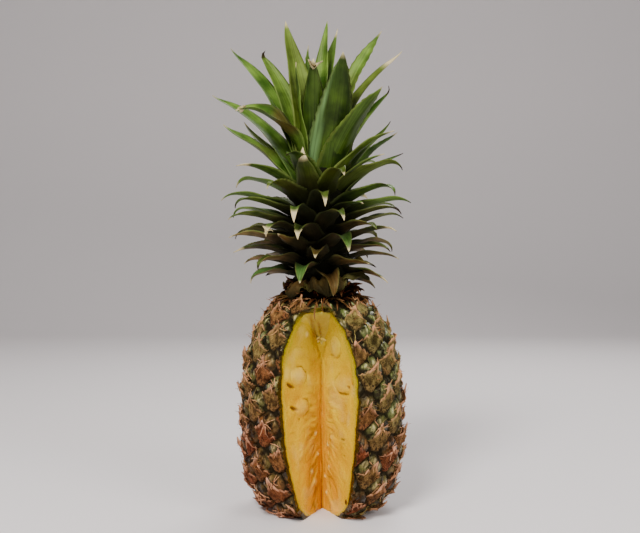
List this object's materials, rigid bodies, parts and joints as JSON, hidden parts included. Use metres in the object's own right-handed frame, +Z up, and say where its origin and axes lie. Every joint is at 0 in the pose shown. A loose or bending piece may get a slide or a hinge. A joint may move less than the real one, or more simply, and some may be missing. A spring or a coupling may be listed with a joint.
{
  "type": "pineapple",
  "caption": "Whole pineapple standing on its trimmed base, with a wedge cut from its front that shows the yellow flesh, and a full crown of leaves.",
  "frame": {"origin": "centre of the fruit's flat base, on the fruit's axis and in the plane it stands on", "axes": "+Z up along the fruit's axis to the crown's tip, -Y out through the middle of the cut wedge, +X to the right of someone who looks into the cut"},
  "size_m": [0.1537, 0.1407, 0.3733],
  "materials": {
    "flesh": "wet cut fruit, yellow and slightly translucent",
    "rind": "rough olive-green and brown eyes with papery bracts",
    "neck_bracts": "dried, dark reddish brown",
    "crown": "waxy green leaves with purple-brown undersides low down"
  },
  "bodies": {
    "root": {"flesh": "flesh", "rind": "rind", "neck_bracts": "neck_bracts", "crown": "crown"}
  },
  "joints": []
}
